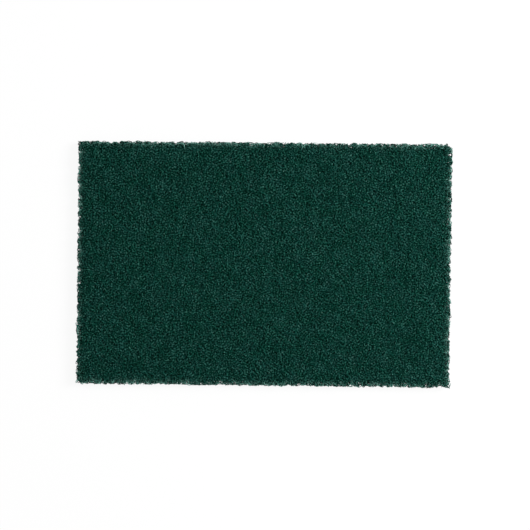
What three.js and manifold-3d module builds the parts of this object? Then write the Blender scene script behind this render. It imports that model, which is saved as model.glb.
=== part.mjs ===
// Nylon scouring pad: one slab of open, non-woven nylon web, cut from the roll.
// Millimetres, +Z up. The pad lies flat, with its origin under its middle on the face it lies on.
// +X runs along the long side, and +Y points to the rear long edge.
import * as THREE from "three";
import { mergeVertices } from "three/addons/utils/BufferGeometryUtils.js";
import Module from "manifold-3d";

// The slab as it was cut
const length = 228; // along X, from cut to cut
const width = 147.6; // along Y, from cut to cut
const thickness = 8; // along Z, over the highest crests of both faces
const outOfSquare = 0.6; // how much longer the right and rear cuts are than the left and front ones
const crispCorner = 1; // corner radius where the blade met the web cleanly
const pulledCorner = 3.5; // corner radius at the rear right, where fibre was pulled away

// The cut edge
const edgeNip = 1.6; // thickness lost at the cut, where the blade squeezed the web
const nipReach = 7; // how far in from the cut the squeeze fades out
const raggedness = 0.6; // how far the cut strays in and out

// The open web of both faces: a net of crests, where fibre bundles cross, round the pores
const webPitch = 4.6; // from a crest to the pores beside it
const poreDepth = 2; // deepest pore below the highest crests
const leastPoreDepth = 1; // shallowest pore below the highest crests
const crestDip = 0.5; // lowest crest below the highest ones
const crestStray = 1.4; // how far crests and pores stray sideways from an even net
const closedShare = 0.15; // share of the pores that fibre has closed over
const landRadius = 4; // pressed flat in the middle of both faces, with no pore in it

// The fringe of fibre loops and cut ends that stands out of the cut
const strandDiameter = 0.7; // a few fibres stuck together by the resin
const strandPitch = 13; // from one strand to the next along the cut
const strandStray = 3.25; // how far a strand may be off its even place along the cut
const strandReach = 1.8; // how far the longest strand stands out from the cut
const leastReach = 0.7; // reach of the shortest strand, as a share of the longest one's
const shoulderReach = 0.8; // reach of a strand's shoulder, as a share of its crown's
const loopSpan = 4.6; // from one foot of a loop to the other
const spanStray = 0.25; // how much wider or narrower a loop may be, as a share of loopSpan
const leanStray = 0.25; // how far a loop may lean along the cut, as a share of its own span
const footDepth = 2.4; // how deep a strand's foot is held in the web
const strandBand = 4; // height of the band of the cut that strands come out of
const cutEndShare = 0.35; // share of the strands that end in a cut instead of looping back

// The open gap in the right cut, near the pulled corner, with one loop of the fringe round it
const gapRadius = 0.75;
const gapOutward = 0.4; // from the cut out to its middle
const gapToRearCut = 4.9; // from its middle
const gapLoopSteps = 14;
const gapSides = 10;

// How finely the facets follow the shapes
const cutRows = 3;
const strandSides = 4;
const strandSteps = 7;
const drawSeed = 11; // picks the series of random numbers that the strays are drawn from

const { lerp, seededRandom, smoothstep } = THREE.MathUtils;

// A number between -1 and 1, the same series on every run.
function stray() {
  return 2 * seededRandom() - 1;
}

// Draws a corner of the rectangle in to a round one, and leaves the rest where it is.
function roundCorner(point) {
  const radius = point.x > 0 && point.y > 0 ? pulledCorner : crispCorner;
  const middleX = length / 2 - radius;
  const middleY = width / 2 - radius;
  const dx = Math.abs(point.x) - middleX;
  const dy = Math.abs(point.y) - middleY;
  if (dx <= 0 || dy <= 0) return;
  const inward = Math.max(dx, dy) / Math.hypot(dx, dy);
  point.x = Math.sign(point.x) * (middleX + dx * inward);
  point.y = Math.sign(point.y) * (middleY + dy * inward);
}

// Moves one point of the plain block to its place on the web. step counts the net's points from the
// left front lower corner, and steps is the count at the opposite corner.
function layPoint(point, step, steps) {
  const onEndCut = step.x % steps.x === 0;
  const onLongCut = step.y % steps.y === 0;
  const onFace = step.z % steps.z === 0;
  const onCut = onEndCut || onLongCut;
  const onLand = Math.hypot(point.x, point.y) < landRadius + webPitch;
  const isPore = (step.x + step.y) % 2 === 0 && seededRandom() > closedShare;
  const inside = Math.min(length / 2 - Math.abs(point.x), width / 2 - Math.abs(point.y));
  const squeeze = 1 - smoothstep(inside, 0, nipReach);

  let dip = Math.max(0, stray()) * crestDip; // every second crest reaches the plane of its face
  if (isPore && !onCut) dip = lerp(leastPoreDepth, poreDepth, seededRandom()) * (1 - squeeze);
  if (onLand || !onFace) dip = 0;
  point.z *= 1 - (edgeNip * squeeze) / thickness;
  point.z -= Math.sign(point.z) * dip;

  roundCorner(point);
  const sideways = onCut || onLand ? 0 : crestStray;
  point.x += stray() * (onEndCut ? raggedness : sideways);
  point.y += stray() * (onLongCut ? raggedness : sideways);
  const skew = outOfSquare / (length * width);
  point.set(point.x * (1 + skew * point.y), point.y * (1 + skew * point.x), point.z + thickness / 2);
}

// Splits each square of the net along its higher diagonal, so that the crests join up.
function joinCrests(places, index) {
  const height = (corner) => Math.abs(places.getZ(corner) - thickness / 2);
  for (let i = 0; i < index.count; i += 6) {
    const [a, b, d] = [0, 1, 2].map((k) => index.getX(i + k));
    const c = index.getX(i + 4);
    if (height(a) + height(c) > height(b) + height(d)) {
      [a, b, c, a, c, d].forEach((corner, k) => index.setX(i + k, corner));
    }
  }
}

function mergedBare(geometry) {
  geometry.deleteAttribute("normal");
  geometry.deleteAttribute("uv");
  return mergeVertices(geometry);
}

function makeSlab() {
  const block = new THREE.Vector3(length, width, thickness);
  const steps = new THREE.Vector3(length / webPitch, width / webPitch, cutRows).round();
  const slab = mergedBare(new THREE.BoxGeometry(...block, ...steps));
  const places = slab.getAttribute("position");
  for (let i = 0; i < places.count; i++) {
    const point = new THREE.Vector3().fromBufferAttribute(places, i);
    const step = point.clone().divide(block).addScalar(0.5).multiply(steps).round();
    layPoint(point, step, steps);
    places.setXYZ(i, ...point);
  }
  joinCrests(places, slab.index);
  return slab;
}

// A strand of even thickness along a smooth curve through its points.
function makeStrand(points, steps = strandSteps) {
  const section = Array.from({ length: strandSides }, (_, i) => {
    const turn = (2 * Math.PI * i) / strandSides;
    return new THREE.Vector2(Math.cos(turn), Math.sin(turn)).multiplyScalar(strandDiameter / 2);
  });
  const strand = new THREE.ExtrudeGeometry(new THREE.Shape(section), {
    steps,
    bevelEnabled: false,
    extrudePath: new THREE.CatmullRomCurve3(points),
  });
  return mergedBare(strand);
}

// A loop or a cut end of the fringe, where the cut runs along X and the outside is at +Y.
function makeFringeStrand() {
  const level = thickness / 2 + (stray() * strandBand) / 2;
  const span = loopSpan * (1 + spanStray * stray());
  const crown = strandReach * lerp(leastReach, 1, seededRandom()) - strandDiameter / 2;
  const rise = strandDiameter * stray();
  const lean = leanStray * span * stray();
  const points = [
    new THREE.Vector3(-span / 2, -footDepth, level),
    new THREE.Vector3(-span / 2 - lean / 3, -footDepth / 3, level + rise / 2),
    new THREE.Vector3(lean - span / 4, crown * shoulderReach, level + rise),
    new THREE.Vector3(lean + span / 5, crown, level),
  ];
  if (seededRandom() > cutEndShare) {
    points.push(new THREE.Vector3(lean / 3 + span / 2, -footDepth / 4, level - rise));
    points.push(new THREE.Vector3(span / 2, -footDepth, level));
  }
  return makeStrand(points);
}

// The strands of one cut, cutLength long and setOff from the middle of the pad.
function makeFringe(cutLength, setOff, turn) {
  const room = cutLength - 2 * (loopSpan + pulledCorner);
  const gaps = Math.max(1, Math.round(room / strandPitch));
  const strands = [];
  for (let i = 0; i <= gaps; i++) {
    const place = (i / gaps - 0.5) * room + stray() * strandStray;
    strands.push(makeFringeStrand().translate(place, setOff, 0).rotateZ(turn));
  }
  return strands;
}

// Sets a shape made for a cut that runs along X, with the outside at +Y, in its place at the right cut.
function setAtGap(geometry) {
  return geometry.rotateZ(-Math.PI / 2).translate(length / 2 + gapOutward, width / 2 - gapToRearCut, 0);
}

// What the web lacks at the gap, taller than the pad on both sides.
function makeGapPlug() {
  const rim = new THREE.Shape().absarc(0, 0, gapRadius, 0, 2 * Math.PI);
  const settings = { depth: 2 * thickness, bevelEnabled: false, curveSegments: gapSides };
  return setAtGap(mergedBare(new THREE.ExtrudeGeometry(rim, settings)).translate(0, 0, -thickness / 2));
}

// The loop round the gap, with both of its feet in the web.
function makeGapLoop() {
  const bow = gapRadius + strandDiameter / 2;
  const foot = gapOutward + footDepth;
  const points = [new THREE.Vector3(-bow, -foot, thickness / 2)];
  for (let turn = 180; turn >= 0; turn -= 30) {
    const angle = THREE.MathUtils.degToRad(turn);
    points.push(new THREE.Vector3(bow * Math.cos(angle), bow * Math.sin(angle), thickness / 2));
  }
  points.push(new THREE.Vector3(bow, -foot, thickness / 2));
  return setAtGap(makeStrand(points, gapLoopSteps));
}

const wasm = await Module();
wasm.setup();

function toSolid(geometry) {
  const vertProperties = geometry.getAttribute("position").array;
  const triVerts = new Uint32Array(geometry.index.array);
  return new wasm.Manifold(new wasm.Mesh({ numProp: 3, vertProperties, triVerts }));
}

function toGeometry(solid) {
  const { vertProperties, triVerts } = solid.getMesh();
  const geometry = new THREE.BufferGeometry();
  geometry.setAttribute("position", new THREE.BufferAttribute(vertProperties, 3));
  geometry.setIndex(new THREE.BufferAttribute(triVerts, 1));
  geometry.computeVertexNormals();
  return geometry;
}

seededRandom(drawSeed);
const slab = toSolid(makeSlab());
const fringe = [
  ...makeFringe(length, width / 2, 0),
  ...makeFringe(width, length / 2, Math.PI / 2),
  ...makeFringe(length, width / 2, Math.PI),
  ...makeFringe(width, length / 2, -Math.PI / 2),
];
const fringed = fringe.reduce((joined, strand) => joined.add(toSolid(strand)), slab);
const web = fringed.subtract(toSolid(makeGapPlug())).add(toSolid(makeGapLoop()));

const nylonWeb = new THREE.MeshStandardMaterial({
  color: 0x0f342c,
  roughness: 0.9,
  metalness: 0,
  flatShading: true,
});
const pad = new THREE.Mesh(toGeometry(web), nylonWeb);
pad.name = "scouring_pad";

const scouringPad = new THREE.Group();
scouringPad.add(pad);
export default scouringPad;
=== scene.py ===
"""Nylon scouring pad, seen from straight above on a white ground.

The pad is one slab of open, non-woven web: crimped nylon fibres, laid at random and glued where they
cross by a dark green resin that carries the grit. Here the web is dressed fibre by fibre round an inner
body in painted shade, darker than the fibres: three depths of fibre on the upper face, one on the under
face, the cut edge with its loops and cut ends, and the lumps of resin on the fibres. Lengths are in metres.
"""
import math

import bpy
import numpy as np
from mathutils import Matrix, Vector


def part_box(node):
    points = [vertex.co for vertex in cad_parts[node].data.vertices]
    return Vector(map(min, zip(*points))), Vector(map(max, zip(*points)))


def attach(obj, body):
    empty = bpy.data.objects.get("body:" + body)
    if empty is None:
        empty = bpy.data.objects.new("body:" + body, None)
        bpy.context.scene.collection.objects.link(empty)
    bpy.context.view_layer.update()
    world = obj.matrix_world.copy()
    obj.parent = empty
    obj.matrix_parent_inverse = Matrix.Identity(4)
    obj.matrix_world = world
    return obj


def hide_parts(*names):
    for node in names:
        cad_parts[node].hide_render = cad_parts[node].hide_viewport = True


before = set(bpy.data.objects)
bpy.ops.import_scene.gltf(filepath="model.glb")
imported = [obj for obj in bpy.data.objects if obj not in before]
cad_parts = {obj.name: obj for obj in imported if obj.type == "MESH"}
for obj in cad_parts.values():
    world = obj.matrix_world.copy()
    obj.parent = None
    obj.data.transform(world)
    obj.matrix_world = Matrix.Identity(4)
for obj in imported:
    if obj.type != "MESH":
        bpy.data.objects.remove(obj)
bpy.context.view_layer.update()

MM = 0.001
CAD_NODE = "scouring_pad"

# The slab, from the frame
LOOP_STAND = 0.86 * MM  # how far the furthest loops of the fringe stand out of the cut
pad_low, pad_high = (np.array(corner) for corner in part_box(CAD_NODE))
HALF_LENGTH, HALF_WIDTH = (pad_high - pad_low)[:2] / 2 - LOOP_STAND
THICKNESS = pad_high[2] - pad_low[2]
MID_HEIGHT = (pad_high[2] + pad_low[2]) / 2

# The cut: how each side of it lies off a true rectangle, and how round its corners are
REAR_RISE = 0.27 * MM  # the rear cut runs out to the right by this at each end
FRONT_FALL = 0.05 * MM  # and the front cut by this
RIGHT_LEAN = 0.27 * MM  # the right cut leans out to the rear by this at each end
CUT_BACK = {"rear": 0.2 * MM, "front": 0.38 * MM, "right": 0.12 * MM, "left": 0.22 * MM}
CORNER_RADIUS = {
    "rear right": 3.2 * MM,
    "rear left": 0.7 * MM,
    "front right": 1.0 * MM,
    "front left": 1.6 * MM,
}
WANDER = 0.19 * MM  # how far the cut strays in and out
WANDER_DRAW = {"rear": 1017, "front": 1373, "right": 1687, "left": 1005}
WANDER_LENGTHS = np.array([47, 23, 13.5, 8.1, 5.3, 3.7]) * MM
BITE_DEPTH = 1.5 * MM  # how deep the notches are where a clump of fibre came away
BITE_LENGTHS = np.array([6.7, 4.1, 2.9]) * MM
BITE_LEVEL = 0.7  # how high the waves of the notches must stand for one to open
EDGE_NIP = 0.75 * MM  # how far each face sinks at the cut, where the blade squeezed the web
NIP_REACH = 6 * MM

# The open gap in the right cut, near the rear, with rings of fibre round it: how far outside the gap's
# rim each ring runs, and how high up it lies as a share of the thickness
GAP_MIDDLE = (HALF_LENGTH - 0.45 * MM, HALF_WIDTH - 5.9 * MM)
GAP_RADIUS = 0.85 * MM
GAP_RINGS = ((0, 0.9), (0.3 * MM, 0.8))

# The fibres
FIBRE = 0.42 * MM  # thickness of a fibre with its coat of resin
LOWEST_LINE = 0.6 * FIBRE  # nearest that a fibre's middle line comes to the ground
STEP = 1.25 * MM  # length of the straight stretches that a fibre is made of
CRIMP = 0.5  # how sharply a fibre turns from one stretch to the next, in radians
UNSOFTENED = {1: 1.6, 2: 1.8}  # how much larger strays are drawn that are then evened out once or twice
LUMPINESS = 0.22  # how much a fibre's thickness strays along it
SPRING_MIDDLE = -0.1 * MM  # how far outside the cut line most fibres end
SPRING_MOST = 0.9 * MM  # and the furthest one
TONE_BY_FIBRE = 0.25
TONE_BY_BEND = 0.95
CLOT_TONE = 6  # how much darker a fibre is that is clotted with resin
FRAYED_PALENESS = 0.7  # how far the fibre has paled right at the cut
FRAYED_REACH = 0.85 * MM  # how far in from the cut that fades to about a third
FRAYED_MOST = 2.6  # the most worn fibre has paled this many times as far
FRAYED_RARITY = 1.8  # the higher it is, the fewer fibres are worn much

# The layers of fibre on the two faces: the seed, how many fibres, the depths below the face that they
# lie between, and 1 for the upper face or -1 for the under one
FACE_LAYERS = {
    "upper_fibres_deep": (11, 1500, 1.0 * MM, 1.9 * MM, 1),
    "upper_fibres_middle": (19, 1300, 0.5 * MM, 1.3 * MM, 1),
    "upper_fibres_crest": (12, 1500, 0.1 * MM, 0.9 * MM, 1),
    "under_fibres": (13, 1100, 0.1 * MM, 1.2 * MM, -1),
}
FACE_STRETCHES = 22
FACE_RISE = 0.4 * MM  # how far a fibre waves up and down
FACE_SPRING = 0.45 * MM  # how widely the ends of its fibres are spread round the cut line
FACE_SPRING_LEAST = -1 * MM  # no fibre ends further inside the cut line than this
FACE_PRESS = 0.15  # how much of its wave a fibre keeps where it is pressed flat at the face
FACE_THICKNESS = (0.75, 1.2)  # of its fibres, as a share of FIBRE

# The band of fibre just inside the cut
EDGE_DRAW = 14  # picks its series of random numbers
EDGE_COUNT = 6200
EDGE_STRETCHES = 6
EDGE_RISE = 0.5 * MM
EDGE_SPRING = 0.5 * MM
EDGE_SPRING_LEAST = -1.2 * MM
EDGE_BAND = (-0.3 * MM, 3 * MM)  # how far inside the cut the fibres' middles lie
EDGE_DEPTH = 5.5 * MM  # and none of them runs further in than this
EDGE_THICKNESS = (0.7, 1.15)
EDGE_CLOTTED = 0.3  # share that is dark with resin

# The loops of the fringe
LOOP_DRAW = 15
LOOP_COUNT = 900
LOOP_BENDS = 9
LOOP_TURN = (-0.15, 1.15)  # from one foot to the other, in half turns
LOOP_SPAN = (0.9 * MM, 3.2 * MM)
LOOP_REACH = (0.25 * MM, 1.15 * MM)
LOOP_FOOT = 0.3 * MM  # how far inside the cut a loop starts to rise
LOOP_FOOT_DEPTH = 2.2 * MM  # how steeply its feet run on into the web
LOOP_LEAN = 0.5  # how far it may lean along the cut, as a share of its span
LOOP_RIPPLE = 0.25 * MM
LOOP_RISE = 0.5 * MM
LOOP_THICKNESS = (0.75, 1.35)
LOOP_CLOTTED = 0.6
BRIDGE_SHARE = 0.4  # share of the loops that bridge the notches

# The rings round the open gap and the ends that stand out by themselves
STRAY_DRAW = 18
STRAY_THICKNESS = 1.3
RING_TURN = 0.9  # how far round each way a ring goes from its outermost point, in half turns

# Each of these ends: its corner, where it starts and stops in millimetres inward from that corner, how
# high up it lies as a share of the thickness, and whether it is dark with resin
STRAY_ENDS = (
    ("rear left", (2, 0.9), (-1.1, 0.35), 0.8, True),
    ("front left", (0.8, 3.2), (-0.8, 0.6), 0.75, False),
    ("front left", (1.6, 2.4), (-0.6, 0.1), 0.55, False),
    ("front right", (2.2, 1.9), (-0.7, -0.9), 0.7, True),
    ("front right", (1.6, 1.2), (-0.2, -0.6), 0.4, True),
)

# The lumps of resin on the fibres. Each pair is the least and the most.
LUMP_DRAW = 16
LUMP_COUNT = 1800
LUMP_RADIUS = (0.5, 1.05)  # as a share of FIBRE
LUMP_STRETCH = (0.75, 1.35)
LUMP_TO_GAP = 0.5 * MM  # nearest that a lump comes to the rim of the open gap
LUMP_SKIN = 0.2 * FIBRE  # how far lumps and clots stay inside the planes of the faces
DENT = (0.75, 1.25)  # how far out the corners of lumps and clots lie, as a share of their radius

# The clots of resin on the cut
KNOT_DRAW = 17
KNOT_COUNT = 560
KNOT_RADIUS = (0.28 * MM, 0.5 * MM)
KNOT_STRETCH = (1.0, 2.6)  # along the cut
KNOT_TALLNESS = 1.2
KNOT_SINK = (-0.15 * MM, 0.35 * MM)  # how far inside the cut its middle lies
KNOT_LEVEL = (0.25, 0.95)  # how high up it lies as a share of the thickness
KNOT_TO_GAP = 0.8 * MM  # a clot nearer than this to the rim of the open gap
KNOT_SHIFT = 6 * MM  # is moved away along the cut by this
KNOT_TONE = -1.5

# The inner body, in painted shade: its greens are darker than the fibres' and stand in for the shade deep in
# the web
BODY_DRAW = 5
BODY_PITCH = 1.5 * MM  # of the net that its faces are
BODY_INSET = 2.2 * MM  # from the cut
BODY_SINK = (1.0 * MM, 2.2 * MM)  # how deep its crests and hollows lie below the faces
BODY_RIM_SINK = 0.8 * MM  # how much deeper its rim lies
BODY_JOG = 0.4  # how far its points stray from an even net, as a share of the pitch
BODY_TO_GAP = 1.2 * MM  # nearest that it comes to the rim of the open gap

# The coat of resin and grit: how its green varies. A level is where the green lies between the deep
# and the light one, before it is squared.
GRIT_SIZE = 1.2 * MM
GRIT_REACH = 0.6 * MM  # how far off the coat is compared with itself, so that only fine grain is left
# strength of the fine grain: partly the grain of the grit, partly painted light on the crests of the coat's
# relief and painted shade in its hollows
GRIT_GRAIN_AND_SHADE = 0.6
PATCH_SIZE = 6 * MM
PATCH_CONTRAST = 0.16
PATCH_BAND = (0.35, 0.65)  # levels of the patches from the first light green to the second
ROUGHNESS = (0.45, 0.75)
ROUGHNESS_BAND = (0.3, 0.7)  # levels of the grit from the least roughness to the most
RELIEF_DEPTH = 0.05 * MM
RELIEF_STRENGTH = 0.6
TONE_CONTRAST = 0.04  # from one fibre and one bend of it to the next
FIBRE_LEVEL = 0.442
FIBRE_SHINE = 0.01
LUMP_LEVEL = 0.35
# the same fine grain on the lumps, with its painted light on the crests and painted shade in the hollows
LUMP_GRAIN_AND_SHADE = 0.75
LUMP_SHINE = 0.03
DEEP_GREEN = (0.0001, 0.014, 0.009, 1)
LIGHT_GREENS = ((0.0, 0.185, 0.124, 1), (0.004, 0.175, 0.138, 1))
# painted shade: the inner body's greens, darker than the fibres', stand in for the shade deep in the web
SHADED_INNER_GREEN = (0.0002, 0.008, 0.005, 1)
SHADED_BODY_GREENS = ((0.0, 0.138, 0.094, 1), (0.003, 0.13, 0.102, 1))
SHEEN_GREY = (0.105, 0.2, 0.17, 1)  # painted sheen: the greyer shade of the lightest places, standing in for the glint of the resin
CUT_NYLON = (0.17, 0.38, 0.32, 1)  # bare nylon, where the blade broke the coat

# The camera looks straight down, and the pad lies turned a little in its frame
FRAME_WIDTH = 327.3 * MM  # what the frame takes in at the upper face
PAD_TURN = math.radians(0.65)
PAD_OFF_CENTRE = (-0.63 * MM, 0.47 * MM)  # where the pad's middle lies from the frame's middle
CAMERA_HEIGHT = 1.6
SENSOR_WIDTH = 36

# The lamp: broad and soft, to the right of the pad and a little to the rear
LAMP_PLACE = (0.9, 0.25, 0.75)
LAMP_SIZE = 0.5
LAMP_WATTS = 15
SURROUND_LIGHT = 0.6
FLOOR_HALF = 3.0
FLOOR_SHADE = (0.9, 0.9, 0.9, 1)
FLOOR_LIFT = 0.9  # how far the floor that the camera sees is lifted to white over its own shade
WHITE = (1, 1, 1, 1)


def softened(values, times):
    """Each row of values, evened out along its length by the given number of passes."""
    for _ in range(times):
        padded = np.concatenate([values[:, :1], values, values[:, -1:]], axis=1)
        values = (padded[:, :-2] + 2 * padded[:, 1:-1] + padded[:, 2:]) / 4
    return values


def wander(along, seed, bitten):
    """How far the cut strays outwards at each place along it, with or without its notches."""
    draw = np.random.default_rng(seed)
    phases = draw.uniform(0, 2 * math.pi, len(WANDER_LENGTHS))
    waves = np.sin(2 * math.pi * along[..., None] / WANDER_LENGTHS + phases)
    strays = WANDER * waves.sum(axis=-1) / math.sqrt(len(WANDER_LENGTHS) / 2)
    if not bitten:
        return strays
    phases = draw.uniform(0, 2 * math.pi, len(BITE_LENGTHS))
    bites = np.sin(2 * math.pi * along[..., None] / BITE_LENGTHS + phases).sum(axis=-1)
    return strays - BITE_DEPTH * np.clip(bites - BITE_LEVEL, 0, 1)


def inside_cut(x, y, bitten=True):
    """How far each point lies inside the ragged cut line, negative outside it."""
    stray = {}
    for name, seed in WANDER_DRAW.items():
        along = x if name in ("rear", "front") else y
        stray[name] = wander(along, seed, bitten)
    rear = HALF_WIDTH - CUT_BACK["rear"] + REAR_RISE * x / HALF_LENGTH + stray["rear"] - y
    front = HALF_WIDTH - CUT_BACK["front"] + FRONT_FALL * x / HALF_LENGTH + stray["front"] + y
    right = HALF_LENGTH - CUT_BACK["right"] + RIGHT_LEAN * y / HALF_WIDTH + stray["right"] - x
    left = HALF_LENGTH - CUT_BACK["left"] + stray["left"] + x
    inside = np.minimum(np.minimum(rear, front), np.minimum(right, left))
    for name, radius in CORNER_RADIUS.items():
        across = rear if "rear" in name else front
        along = right if "right" in name else left
        near = (across < radius) & (along < radius)
        rounded = radius - np.hypot(radius - across, radius - along)
        inside = np.where(near, rounded, inside)
    return inside


def from_gap(x, y):
    """How far each point lies from the rim of the open gap, negative inside it."""
    return np.hypot(x - GAP_MIDDLE[0], y - GAP_MIDDLE[1]) - GAP_RADIUS


def squeezed(points):
    """Draws the heights of the points in towards the middle near the cut, as the blade did."""
    depth = np.clip(inside_cut(points[..., 0], points[..., 1]) / NIP_REACH, 0, 1)
    squeeze = (1 - depth * depth * (3 - 2 * depth)) * EDGE_NIP / (THICKNESS / 2)
    points[..., 2] = MID_HEIGHT + (points[..., 2] - MID_HEIGHT) * (1 - squeeze)
    return points


def crimped_lines(draw, count, stretches, rise, heading=None):
    """The middle lines of crimped fibres that start at the origin, and run every way in the plane if no
    heading is given for each."""
    turns = softened(draw.normal(0, CRIMP * UNSOFTENED[1], (count, stretches)), 1)
    if heading is None:
        heading = draw.uniform(0, 2 * math.pi, (count, 1))
    heading = heading + np.cumsum(turns, axis=1)
    flat = np.stack([np.cos(heading), np.sin(heading)], axis=-1) * STEP
    flat = np.concatenate([np.zeros((count, 1, 2)), np.cumsum(flat, axis=1)], axis=1)
    height = softened(draw.normal(0, rise * UNSOFTENED[2], (count, stretches + 1)), 2)
    return np.concatenate([flat, height[..., None]], axis=-1)


def trimmed(lines, spring):
    """Which points of the lines the blade left, with the last one of each run moved on to the cut.

    spring says how far outside the cut line each fibre ends, because it springs out once it is cut.
    """
    x, y = lines[..., 0], lines[..., 1]
    spare = inside_cut(x, y) + spring[:, None]
    kept = spare > 0
    for this, other in ((slice(1, None), slice(None, -1)), (slice(None, -1), slice(1, None))):
        crossing = ~kept[:, this] & (spare[:, other] > 0)
        share = spare[:, other] / np.maximum(spare[:, other] - spare[:, this], 1e-9)
        ends = lines[:, other] + (lines[:, this] - lines[:, other]) * share[..., None]
        lines[:, this] = np.where(crossing[..., None], ends, lines[:, this])
        kept[:, this] |= crossing
    return lines, kept & (from_gap(x, y) > 0)


def mesh_piece(name, corners, faces, shades, finish, map_places=None):
    """A smooth mesh from arrays of corners and of faces, each face with three or four corners.

    shades are the named values that the finish reads at each corner, and map_places, if they are
    given, lay each face's corners out flat.
    """
    mesh = bpy.data.meshes.new(name)
    sizes = np.concatenate([np.full(len(group), group.shape[1]) for group in faces])
    loops = np.concatenate([group.ravel() for group in faces])
    mesh.vertices.add(len(corners))
    mesh.vertices.foreach_set("co", np.ascontiguousarray(corners, np.float32).ravel())
    mesh.loops.add(len(loops))
    mesh.loops.foreach_set("vertex_index", loops.astype(np.int32))
    mesh.polygons.add(len(sizes))
    mesh.polygons.foreach_set("loop_start", (np.cumsum(sizes) - sizes).astype(np.int32))
    mesh.polygons.foreach_set("use_smooth", np.ones(len(sizes), bool))
    for shade, values in shades.items():
        layer = mesh.attributes.new(shade, "FLOAT", "POINT")
        layer.data.foreach_set("value", np.ascontiguousarray(values, np.float32))
    if map_places is not None:
        layer = mesh.uv_layers.new(name="OFBake")
        layer.uv.foreach_set("vector", np.ascontiguousarray(map_places, np.float32).ravel())
    mesh.update(calc_edges=True)
    mesh.materials.append(finish)
    piece = bpy.data.objects.new(name, mesh)
    bpy.context.collection.objects.link(piece)
    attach(piece, "root")
    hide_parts(CAD_NODE)
    return piece


def spin_fibres(name, draw, lines, kept, thickness, finish, clotted=0.0):
    """Closed three-sided fibres along the kept stretches of the lines.

    clotted is the share of them that is dark with resin and doesn't pale at the cut, for all of them
    or for each one.
    """
    paired = kept[:, 1:] & kept[:, :-1]
    kept = np.zeros_like(kept)
    kept[:, 1:] |= paired
    kept[:, :-1] |= paired
    number = np.cumsum(kept.ravel()).reshape(kept.shape) - 1
    starts = number[:, :-1][paired]
    centres = lines[kept]
    fibre = np.nonzero(kept)[0]
    total = len(centres)

    onward = np.zeros((total, 3))
    stretch = centres[starts + 1] - centres[starts]
    onward[starts] += stretch
    onward[starts + 1] += stretch
    onward /= np.linalg.norm(onward, axis=1, keepdims=True)
    sideways = np.cross(onward, [0, 0, 1.0])
    sideways /= np.maximum(np.linalg.norm(sideways, axis=1, keepdims=True), 1e-6)
    upward = np.cross(sideways, onward)
    twist = draw.uniform(0, 2 * math.pi, len(lines))[fibre]
    lumps = 1 + LUMPINESS * draw.normal(0, 1, total).clip(-1.6, 2.2)
    radius = thickness[fibre] / 2 * lumps
    ring = []
    for side in range(3):
        angle = twist + side * 2 * math.pi / 3
        out = np.cos(angle)[:, None] * sideways + np.sin(angle)[:, None] * upward
        ring.append(centres + out * radius[:, None])
    corners = np.stack(ring, axis=1).reshape(-1, 3)
    corners[:, 2] = np.clip(corners[:, 2], pad_low[2], pad_high[2])

    is_first = np.ones(total, bool)
    is_first[starts + 1] = False
    is_last = np.ones(total, bool)
    is_last[starts] = False
    walls = []
    for side in range(3):
        after = (side + 1) % 3
        here, there = starts * 3, starts * 3 + 3
        walls.append(np.stack([here + side, here + after, there + after, there + side], axis=1))
    walls = np.stack(walls, axis=1).reshape(-1, 4)
    first, last = np.nonzero(is_first)[0] * 3, np.nonzero(is_last)[0] * 3
    caps = np.concatenate([
        np.stack([first + 2, first + 1, first], axis=1),
        np.stack([last, last + 1, last + 2], axis=1),
    ])

    tone = TONE_BY_FIBRE * draw.normal(0, 1, len(lines))[fibre] + TONE_BY_BEND * draw.normal(0, 1, total)
    depth = inside_cut(centres[:, 0], centres[:, 1])
    is_clotted = (draw.uniform(0, 1, len(lines)) < clotted)[fibre]
    worn = FRAYED_MOST * draw.uniform(0, 1, len(lines)) ** FRAYED_RARITY
    frayed = FRAYED_PALENESS * np.exp(-np.maximum(depth, 0) / FRAYED_REACH) * worn[fibre] * ~is_clotted
    tone = tone - CLOT_TONE * is_clotted
    shades = {"fibre tone": np.repeat(tone, 3), "cut end": np.repeat(np.clip(frayed, 0, 1), 3)}
    return mesh_piece(name, corners, [walls, caps], shades, finish, strip_map(len(starts), len(caps)))


def strip_map(stretches, caps):
    """A flat layout in which each stretch of fibre has a small square, split among its three sides."""
    across = math.ceil(math.sqrt(stretches + caps / 3 + 1))
    index = np.arange(stretches)
    low = np.stack([index % across, index // across], axis=1)
    sides = []
    for side in range(3):
        left, right = (side + 0.08) / 3, (side + 0.92) / 3
        sides.append(np.array([[left, 0.08], [right, 0.08], [right, 0.92], [left, 0.92]]))
    walls = low[:, None, None, :] + np.array(sides)[None]
    spot = stretches + np.arange(caps) // 3
    shift = (np.arange(caps) % 3) / 3
    corner = np.stack([spot % across + shift, spot // across], axis=1).astype(float)
    triangle = np.array([[0.03, 0.1], [0.3, 0.1], [0.03, 0.9]])
    ends = corner[:, None, :] + triangle[None]
    return np.concatenate([walls.reshape(-1, 2), ends.reshape(-1, 2)]) / (across + 1)


def evenly_scattered(draw, count):
    """Numbers from 0 to 1 in three columns that fill their cube more evenly than plain chance does."""
    root = 1.2207440846057596  # solves root ** 4 = root + 1
    steps = np.arange(1, count + 1)[:, None] / root ** np.arange(1, 4)
    return (steps + draw.uniform(0, 1, 3)) % 1


def sprung(draw, count, spread, least):
    """How far outside the cut line each fibre ends, because it springs out once it is cut."""
    return np.clip(draw.normal(SPRING_MIDDLE, spread, count), least, SPRING_MOST)


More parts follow.
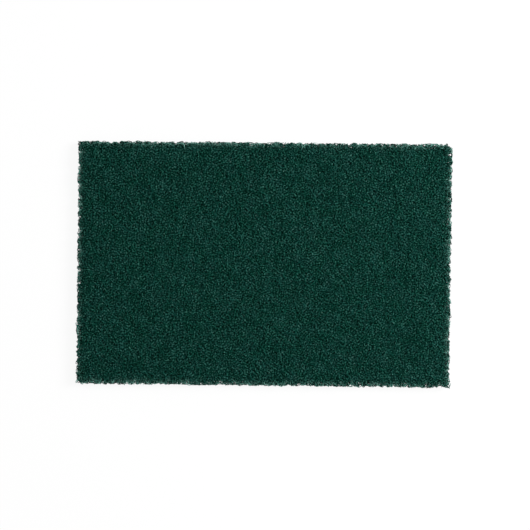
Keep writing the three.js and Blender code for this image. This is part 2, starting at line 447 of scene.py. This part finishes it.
def lay_face_fibres(name, seed, count, highest, lowest, up, finish):
    """Fibres that lie on one face, between two depths below its plane. up is 1 above and -1 below."""
    draw = np.random.default_rng(seed)
    scatter = evenly_scattered(draw, count)
    lines = crimped_lines(draw, count, FACE_STRETCHES, FACE_RISE, heading=2 * math.pi * scatter[:, 2:])
    overhang = FACE_STRETCHES * STEP / 4
    middle = lines.mean(axis=1, keepdims=True)
    middle[..., 2] = 0
    place = np.zeros((count, 3))
    place[:, :2] = (2 * scatter[:, :2] - 1) * (np.array([HALF_LENGTH, HALF_WIDTH]) + overhang)
    lines = lines - middle + place[:, None]
    depth = draw.uniform(highest, lowest, (count, 1)) + lines[..., 2]
    depth = np.maximum(depth, FIBRE / 2 + FACE_PRESS * np.abs(lines[..., 2]))  # pressed flat at the face
    lines[..., 2] = MID_HEIGHT + up * (THICKNESS / 2 - depth)
    lines, kept = trimmed(lines, sprung(draw, count, FACE_SPRING, FACE_SPRING_LEAST))
    thickness = FIBRE * draw.uniform(*FACE_THICKNESS, count)
    return spin_fibres(name, draw, squeezed(lines), kept, thickness, finish)


def along_cut(draw, count):
    """Random places on the cut: the point, and the way out of the pad there."""
    lengths = np.array([2 * HALF_LENGTH, 2 * HALF_WIDTH, 2 * HALF_LENGTH, 2 * HALF_WIDTH])
    edge = draw.choice(4, count, p=lengths / lengths.sum())
    share = draw.uniform(-1, 1, count)
    out = np.array([[0, 1], [1, 0], [0, -1], [-1, 0]], float)[edge]
    way = np.stack([-out[:, 1], out[:, 0]], axis=1)
    half = np.array([HALF_LENGTH, HALF_WIDTH])
    return out * half + way * share[:, None] * half[edge % 2][:, None], out, way


def lay_edge_fibres(name, seed, count, finish):
    """Fibres that run through the band inside the cut at every height, and end where it cuts them."""
    draw = np.random.default_rng(seed)
    lines = crimped_lines(draw, count, EDGE_STRETCHES, EDGE_RISE)
    middle = lines.mean(axis=1, keepdims=True)
    point, out, _ = along_cut(draw, count)
    point = point - out * draw.uniform(*EDGE_BAND, (count, 1))
    height = draw.uniform(FIBRE, THICKNESS - FIBRE, count)
    place = np.concatenate([point, height[:, None]], axis=1)
    lines = lines - middle + place[:, None]
    lines[..., 2] = np.clip(lines[..., 2], LOWEST_LINE, THICKNESS - LOWEST_LINE)
    lines, kept = trimmed(lines, sprung(draw, count, EDGE_SPRING, EDGE_SPRING_LEAST))
    kept &= inside_cut(lines[..., 0], lines[..., 1]) < EDGE_DEPTH
    thickness = FIBRE * draw.uniform(*EDGE_THICKNESS, count)
    return spin_fibres(name, draw, squeezed(lines), kept, thickness, finish, EDGE_CLOTTED)


def lay_fringe_loops(name, seed, count, finish):
    """Loops of fibre that stand out of the cut and turn back into the web."""
    draw = np.random.default_rng(seed)
    point, out, way = along_cut(draw, count)
    span = draw.uniform(*LOOP_SPAN, count)[:, None]
    reach = draw.uniform(*LOOP_REACH, count)[:, None]
    turn = np.linspace(*LOOP_TURN, LOOP_BENDS)[None] * math.pi
    rise = np.sin(turn)
    lean = draw.uniform(-LOOP_LEAN, LOOP_LEAN, (count, 1))
    along = (lean * rise - np.cos(turn) / 2) * span
    outward = rise * reach - LOOP_FOOT + np.minimum(rise, 0) * LOOP_FOOT_DEPTH
    outward = outward + softened(draw.normal(0, LOOP_RIPPLE, (count, LOOP_BENDS)), 1) / 2
    bridges = draw.uniform(0, 1, count) < BRIDGE_SHARE
    outward += np.where(bridges, inside_cut(*point.T, bitten=False), inside_cut(*point.T))[:, None]
    flat = point[:, None] + way[:, None] * along[..., None] + out[:, None] * outward[..., None]
    height = draw.uniform(FIBRE * 1.2, THICKNESS - FIBRE * 1.2, (count, 1))
    height = height + softened(draw.normal(0, LOOP_RISE, (count, LOOP_BENDS)), 1)
    height = np.clip(height, LOWEST_LINE, THICKNESS - LOWEST_LINE)
    lines = np.concatenate([flat, height[..., None]], axis=-1)
    kept = from_gap(lines[..., 0], lines[..., 1]) > 0
    thickness = FIBRE * draw.uniform(*LOOP_THICKNESS, count)
    return spin_fibres(name, draw, squeezed(lines), kept, thickness, finish, LOOP_CLOTTED)


def lay_stray_ends(name, seed, finish):
    """The few ends that stand out by themselves at three corners, and the rings round the open gap."""
    draw = np.random.default_rng(seed)
    share = np.linspace(0, 1, LOOP_BENDS)[:, None]
    flat, heights, is_dark = [], [], []
    for corner, start, end, height, dark in STRAY_ENDS:
        way = np.array([1 if "right" in corner else -1, 1 if "rear" in corner else -1])
        start, end = (way * (HALF_LENGTH - x * MM, HALF_WIDTH - y * MM) for x, y in (start, end))
        flat.append(start + (end - start) * share)
        heights.append(height)
        is_dark.append(dark)
    flat = np.array(flat) + softened(draw.normal(0, LOOP_RIPPLE, (len(flat), LOOP_BENDS)), 1)[..., None]
    turn = np.linspace(-RING_TURN, RING_TURN, LOOP_BENDS) * math.pi  # open on the side of the web
    for outside, height in GAP_RINGS:
        ring = GAP_MIDDLE + (GAP_RADIUS + outside) * np.stack([np.cos(turn), np.sin(turn)], axis=-1)
        flat = np.concatenate([flat, ring[None]])
        heights.append(height)
        is_dark.append(True)
    height = np.broadcast_to(THICKNESS * np.array(heights)[:, None, None], (*flat.shape[:2], 1))
    lines = np.concatenate([flat, height], axis=-1)
    kept = np.ones(lines.shape[:2], bool)
    thickness = np.full(len(lines), STRAY_THICKNESS * FIBRE)
    return spin_fibres(name, draw, lines, kept, thickness, finish, np.array(is_dark))


def lay_web_body(name, seed, finish):
    """The inner body of the web, dark with painted shade for the depth of the web: a closed slab that stays
    below the fibres, all hollows and lumps.
    """
    draw = np.random.default_rng(seed)
    half = np.array([HALF_LENGTH, HALF_WIDTH]) - BODY_INSET
    counts = np.round(2 * half / BODY_PITCH).astype(int) + 1
    across, up = np.meshgrid(*(np.linspace(-h, h, n) for h, n in zip(half, counts)), indexing="ij")
    rim = np.zeros(across.shape, bool)
    rim[[0, -1], :] = True
    rim[:, [0, -1]] = True
    layers = []
    for side in (1, -1):
        sink = draw.uniform(*BODY_SINK, across.shape)
        height = MID_HEIGHT + side * (THICKNESS / 2 - sink - rim * BODY_RIM_SINK)
        jog = draw.uniform(-BODY_JOG, BODY_JOG, (2, *across.shape)) * BODY_PITCH * ~rim
        flat = np.stack([across + jog[0], up + jog[1]], axis=-1)
        away = flat - GAP_MIDDLE
        far = np.linalg.norm(away, axis=-1, keepdims=True)
        flat = GAP_MIDDLE + away * np.maximum(1, (GAP_RADIUS + BODY_TO_GAP) / far)
        layers.append(np.concatenate([flat, height[..., None]], axis=-1))
    corners = squeezed(np.stack(layers)).reshape(-1, 3)
    index = np.arange(across.size).reshape(across.shape)
    top = np.stack([index[:-1, :-1], index[1:, :-1], index[1:, 1:], index[:-1, 1:]], axis=-1).reshape(-1, 4)
    under = top[:, ::-1] + across.size
    around = np.concatenate([index[:-1, 0], index[-1, :-1], index[:0:-1, -1], index[0, :0:-1]])
    after = np.roll(around, -1)
    wall = np.stack([around + across.size, after + across.size, after, around], axis=1)
    faces = np.concatenate([top, under, wall])
    shades = {"fibre tone": draw.normal(0, 1, len(corners)), "cut end": np.zeros(len(corners))}
    return mesh_piece(name, corners, [faces], shades, finish)


def icosahedron():
    """Twelve corners at distance one from the origin, and the twenty sides between them."""
    gold = (1 + math.sqrt(5)) / 2
    shell = np.array([
        (-1, gold, 0), (1, gold, 0), (-1, -gold, 0), (1, -gold, 0), (0, -1, gold), (0, 1, gold),
        (0, -1, -gold), (0, 1, -gold), (gold, 0, -1), (gold, 0, 1), (-gold, 0, -1), (-gold, 0, 1),
    ]) / math.hypot(1, gold)
    sides = np.array([
        (0, 11, 5), (0, 5, 1), (0, 1, 7), (0, 7, 10), (0, 10, 11), (1, 5, 9), (5, 11, 4), (11, 10, 2),
        (10, 7, 6), (7, 1, 8), (3, 9, 4), (3, 4, 2), (3, 2, 6), (3, 6, 8), (3, 8, 9), (4, 9, 5),
        (2, 4, 11), (6, 2, 10), (8, 6, 7), (9, 8, 1),
    ])
    return shell, sides


def lay_resin_lumps(name, seed, carriers, count, finish):
    """Lumps of resin and grit on the fibres of the carrier pieces."""
    draw = np.random.default_rng(seed)
    spots = []
    for carrier in carriers:
        places = np.empty(len(carrier.data.vertices) * 3, np.float32)
        carrier.data.vertices.foreach_get("co", places)
        spots.append(places.reshape(-1, 3, 3).mean(axis=1))
    spots = np.concatenate(spots)
    spots = spots[from_gap(spots[:, 0], spots[:, 1]) > LUMP_TO_GAP]
    centres = spots[draw.choice(len(spots), count, replace=False)]
    shell, sides = icosahedron()
    radius = FIBRE * draw.uniform(*LUMP_RADIUS, (count, 1, 1))
    size = radius * draw.uniform(*DENT, (count, 12, 1))
    stretch = draw.uniform(*LUMP_STRETCH, (count, 1, 3))
    corners = centres[:, None] + shell[None] * size * stretch
    tone = np.repeat(draw.normal(0, 1, count), 12)
    return mesh_lumps(name, corners, sides, tone, finish)


def lay_cut_knots(name, seed, count, finish):
    """Dark clots of resin right on the cut, drawn out along it by the blade."""
    draw = np.random.default_rng(seed)
    point, out, way = along_cut(draw, count)
    depth = inside_cut(*point.T) - draw.uniform(*KNOT_SINK, count)
    centre = point + out * depth[:, None]
    centre[from_gap(*centre.T) < KNOT_TO_GAP] -= (0, KNOT_SHIFT)
    height = draw.uniform(*KNOT_LEVEL, count) * THICKNESS
    size = draw.uniform(*KNOT_RADIUS, (count, 1))[..., None]
    drawn_out = draw.uniform(*KNOT_STRETCH, (count, 1))[..., None]
    shell, sides = icosahedron()
    x, y, z = np.split(shell[None] * draw.uniform(*DENT, (count, 12, 1)) * size, 3, axis=-1)
    flat = centre[:, None] + way[:, None] * x * drawn_out + out[:, None] * y
    corners = np.concatenate([flat, height[:, None, None] + KNOT_TALLNESS * z], axis=-1)
    return mesh_lumps(name, corners, sides, np.full(count * 12, KNOT_TONE), finish)


def mesh_lumps(name, corners, sides, tone, finish):
    """A piece of twenty-sided lumps, kept inside the thickness of the pad."""
    corners[..., 2] = np.clip(corners[..., 2], LUMP_SKIN, THICKNESS - LUMP_SKIN)
    faces = (sides[None] + 12 * np.arange(len(corners))[:, None, None]).reshape(-1, 3)
    shades = {"fibre tone": tone, "cut end": np.zeros(len(tone))}
    return mesh_piece(name, corners.reshape(-1, 3), [faces], shades, finish)


def add(tree, kind, inputs=None, **settings):
    """A node with its settings made, and each named input set or joined to another node's output."""
    made = tree.nodes.new(kind)
    for name, value in settings.items():
        setattr(made, name, value)
    for name, value in (inputs or {}).items():
        if isinstance(value, bpy.types.NodeSocket):
            tree.links.new(value, made.inputs[name])
        else:
            made.inputs[name].default_value = value
    return made


def worked_out(tree, operation, first, second, **settings):
    """The number that a node works out from two others."""
    return add(tree, "ShaderNodeMath", {0: first, 1: second}, operation=operation, **settings).outputs[0]


def noise(tree, place, scale, detail):
    """The level of a plain noise at a place."""
    inputs = {"Vector": place, "Scale": scale, "Detail": detail}
    return add(tree, "ShaderNodeTexNoise", inputs).outputs["Fac"]


def spread_out(tree, level, low, high, least=0.0, most=1.0):
    """A level between low and high, spread out over the numbers from least to most."""
    inputs = {"Value": level, "From Min": low, "From Max": high, "To Min": least, "To Max": most}
    return add(tree, "ShaderNodeMapRange", inputs).outputs[0]


def mixed_colour(tree, factor, first, second):
    """A mix of two colours, each of them plain or another node's output."""
    mix = add(tree, "ShaderNodeMix", data_type="RGBA")
    tree.links.new(factor, mix.inputs["Factor"])
    for socket, colour in (("A", first), ("B", second)):
        place = next(i for i in mix.inputs if i.name == socket and i.type == "RGBA")
        if isinstance(colour, bpy.types.NodeSocket):
            tree.links.new(colour, place)
        else:
            place.default_value = colour
    return mix.outputs["Result"]


def resin_coat():
    """The uneven coat of resin and grit: a shade, a hue, a roughness and a height that vary over the web.

    The fine grain is three times the noise less the noise at three points round the place, so that only
    what differs from its surroundings is left. The same noise is the height of the relief, so the grain is
    also painted light on the relief's crests and painted shade in its hollows.
    """
    group = bpy.data.node_groups.new("resin coat", "ShaderNodeTree")
    for name in ("Grit Size", "Patch Size", "Grain And Relief Shade", "Patch Contrast"):
        group.interface.new_socket(name, in_out="INPUT", socket_type="NodeSocketFloat")
    for name in ("Shade", "Hue", "Roughness", "Height"):
        group.interface.new_socket(name, in_out="OUTPUT", socket_type="NodeSocketFloat")
    given = group.nodes.new("NodeGroupInput").outputs
    place = add(group, "ShaderNodeTexCoord").outputs["Object"]
    finer = worked_out(group, "DIVIDE", 1.0, given["Grit Size"])
    wider = worked_out(group, "DIVIDE", 1.0, given["Patch Size"])
    grit = noise(group, place, finer, 0.0)
    patch = noise(group, place, wider, 1.0)
    # painted light on the crests of the relief and painted shade in its hollows, along with the grain of the
    # grit
    fine = worked_out(group, "MULTIPLY", grit, 3.0)
    for turn in (0, 120, 240):
        angle = math.radians(turn)
        step = [GRIT_REACH * math.cos(angle), GRIT_REACH * math.sin(angle), 0]
        beside = add(group, "ShaderNodeVectorMath", {0: place, 1: step}, operation="ADD").outputs["Vector"]
        fine = worked_out(group, "SUBTRACT", fine, noise(group, beside, finer, 0.0))
    fine = worked_out(group, "MULTIPLY", fine, given["Grain And Relief Shade"])
    wide = worked_out(group, "SUBTRACT", patch, 0.5)
    wide = worked_out(group, "MULTIPLY", wide, given["Patch Contrast"])
    given_out = {
        "Shade": worked_out(group, "ADD", fine, wide),
        "Hue": spread_out(group, patch, *PATCH_BAND),
        "Roughness": spread_out(group, grit, *ROUGHNESS_BAND, *ROUGHNESS),
        "Height": grit,
    }
    shown = group.nodes.new("NodeGroupOutput")
    for name, output in given_out.items():
        group.links.new(output, shown.inputs[name])
    return group


def nylon_finish(name, coat, dark, light, middle, grain_and_shade, shine):
    """Resin-coated nylon. dark and the pair of light greens are the ends of its range, and middle is
    the level of green that it varies round."""
    finish = bpy.data.materials.new(name)
    finish.use_nodes = True
    tree = finish.node_tree
    tree.nodes.clear()
    coating = add(tree, "ShaderNodeGroup", node_tree=coat)
    coating.inputs["Grit Size"].default_value = GRIT_SIZE
    coating.inputs["Grain And Relief Shade"].default_value = grain_and_shade
    coating.inputs["Patch Size"].default_value = PATCH_SIZE
    coating.inputs["Patch Contrast"].default_value = PATCH_CONTRAST
    tone = add(tree, "ShaderNodeAttribute", attribute_name="fibre tone").outputs["Fac"]
    toned = worked_out(tree, "MULTIPLY", tone, TONE_CONTRAST)
    # the coat's grain brings painted light on the crests of its relief and painted shade in its hollows
    shade = worked_out(tree, "ADD", toned, coating.outputs["Shade"])
    level = worked_out(tree, "ADD", shade, middle, use_clamp=True)
    level = worked_out(tree, "POWER", level, 2.0)
    # painted sheen: the lightest levels are mixed towards grey, for the glint of the resin
    sheen_share = worked_out(tree, "POWER", level, 2.0)
    pale = mixed_colour(tree, coating.outputs["Hue"], *light)
    green = mixed_colour(tree, level, dark, pale)
    sheened_green = mixed_colour(tree, sheen_share, green, SHEEN_GREY)
    fresh = add(tree, "ShaderNodeAttribute", attribute_name="cut end").outputs["Fac"]
    relief = {"Height": coating.outputs["Height"], "Strength": RELIEF_STRENGTH, "Distance": RELIEF_DEPTH}
    shader = add(tree, "ShaderNodeBsdfPrincipled", {
        "Base Color": mixed_colour(tree, fresh, sheened_green, CUT_NYLON),
        "Roughness": coating.outputs["Roughness"],
        "Normal": add(tree, "ShaderNodeBump", relief).outputs["Normal"],
        "Specular IOR Level": shine,
    })
    output = tree.nodes.new("ShaderNodeOutputMaterial")
    tree.links.new(shader.outputs[0], output.inputs["Surface"])
    return finish


def straight_seen(tree):
    """One for what the camera sees, by itself, mirrored or through something clear, and otherwise nought."""
    path = tree.nodes.new("ShaderNodeLightPath")
    seen = path.outputs["Is Camera Ray"]
    for kind in ("Is Glossy Ray", "Is Transmission Ray"):
        seen = worked_out(tree, "MAXIMUM", seen, path.outputs[kind])
    return seen


def lay_floor():
    """A plain white floor. What the camera sees of it is lifted to white, and its shadow is kept."""
    corners = [(x * FLOOR_HALF, y * FLOOR_HALF, 0) for x, y in ((-1, -1), (1, -1), (1, 1), (-1, 1))]
    mesh = bpy.data.meshes.new("floor")
    mesh.from_pydata(corners, [], [(0, 1, 2, 3)])
    floor = bpy.data.objects.new("floor", mesh)
    bpy.context.collection.objects.link(floor)
    paint = bpy.data.materials.new("white floor")
    paint.use_nodes = True
    tree = paint.node_tree
    tree.nodes.clear()
    matt = add(tree, "ShaderNodeBsdfDiffuse", {"Color": FLOOR_SHADE}).outputs[0]
    lift = add(tree, "ShaderNodeEmission", {"Color": WHITE, "Strength": 1.0}).outputs[0]
    share = worked_out(tree, "MULTIPLY", straight_seen(tree), FLOOR_LIFT)
    mixed = add(tree, "ShaderNodeMixShader", {0: share, 1: matt, 2: lift})
    output = tree.nodes.new("ShaderNodeOutputMaterial")
    tree.links.new(mixed.outputs[0], output.inputs["Surface"])
    mesh.materials.append(paint)


def hang_lights():
    """An even white surround and one broad soft lamp from the right."""
    world = bpy.data.worlds.new("white surround")
    bpy.context.scene.world = world
    world.use_nodes = True
    tree = world.node_tree
    tree.nodes.clear()
    strength = spread_out(tree, straight_seen(tree), 0.0, 1.0, SURROUND_LIGHT, 1.0)
    surround = add(tree, "ShaderNodeBackground", {"Color": WHITE, "Strength": strength})
    output = tree.nodes.new("ShaderNodeOutputWorld")
    tree.links.new(surround.outputs[0], output.inputs["Surface"])
    lamp = bpy.data.lights.new("soft lamp", "AREA")
    lamp.size = LAMP_SIZE
    lamp.energy = LAMP_WATTS
    holder = bpy.data.objects.new("soft lamp", lamp)
    holder.location = LAMP_PLACE
    holder.rotation_euler = Vector(LAMP_PLACE).to_track_quat("Z", "Y").to_euler()
    bpy.context.collection.objects.link(holder)


def set_camera():
    """Straight above the frame's middle, and turned so that the pad lies in it as it should."""
    camera = bpy.data.cameras.new("overhead camera")
    camera.sensor_width = SENSOR_WIDTH
    camera.lens = SENSOR_WIDTH * CAMERA_HEIGHT / FRAME_WIDTH
    holder = bpy.data.objects.new("overhead camera", camera)
    cos, sin = math.cos(PAD_TURN), math.sin(PAD_TURN)
    x, y = -np.array([[cos, -sin], [sin, cos]]) @ PAD_OFF_CENTRE
    holder.location = (x, y, THICKNESS + CAMERA_HEIGHT)
    holder.rotation_euler = (0, 0, PAD_TURN)
    bpy.context.collection.objects.link(holder)
    bpy.context.scene.camera = holder


bpy.context.scene.view_settings.view_transform = "Standard"
coat = resin_coat()
greens = (DEEP_GREEN, LIGHT_GREENS)
fibre_finish = nylon_finish("resin-coated nylon", coat, *greens, FIBRE_LEVEL, GRIT_GRAIN_AND_SHADE, FIBRE_SHINE)
lump_finish = nylon_finish("resin and grit", coat, *greens, LUMP_LEVEL, LUMP_GRAIN_AND_SHADE, LUMP_SHINE)
# the inner body takes the darker greens, which are painted shade for the depth of the web
greens = (SHADED_INNER_GREEN, SHADED_BODY_GREENS)
shaded_body_finish = nylon_finish("shaded inner web", coat, *greens, FIBRE_LEVEL, GRIT_GRAIN_AND_SHADE, FIBRE_SHINE)

body = lay_web_body("web_body", BODY_DRAW, shaded_body_finish)
layers = {name: lay_face_fibres(name, *layer, fibre_finish) for name, layer in FACE_LAYERS.items()}
edge = lay_edge_fibres("cut_edge_fibres", EDGE_DRAW, EDGE_COUNT, fibre_finish)
loops = lay_fringe_loops("fringe_loops", LOOP_DRAW, LOOP_COUNT, fibre_finish)
lay_stray_ends("stray_ends", STRAY_DRAW, lump_finish)
lay_cut_knots("cut_knots", KNOT_DRAW, KNOT_COUNT, lump_finish)
carriers = [layers[name] for name in ("upper_fibres_crest", "upper_fibres_middle", "under_fibres")]
lay_resin_lumps("resin_lumps", LUMP_DRAW, [*carriers, edge, loops], LUMP_COUNT, lump_finish)

lay_floor()
hang_lights()
set_camera()
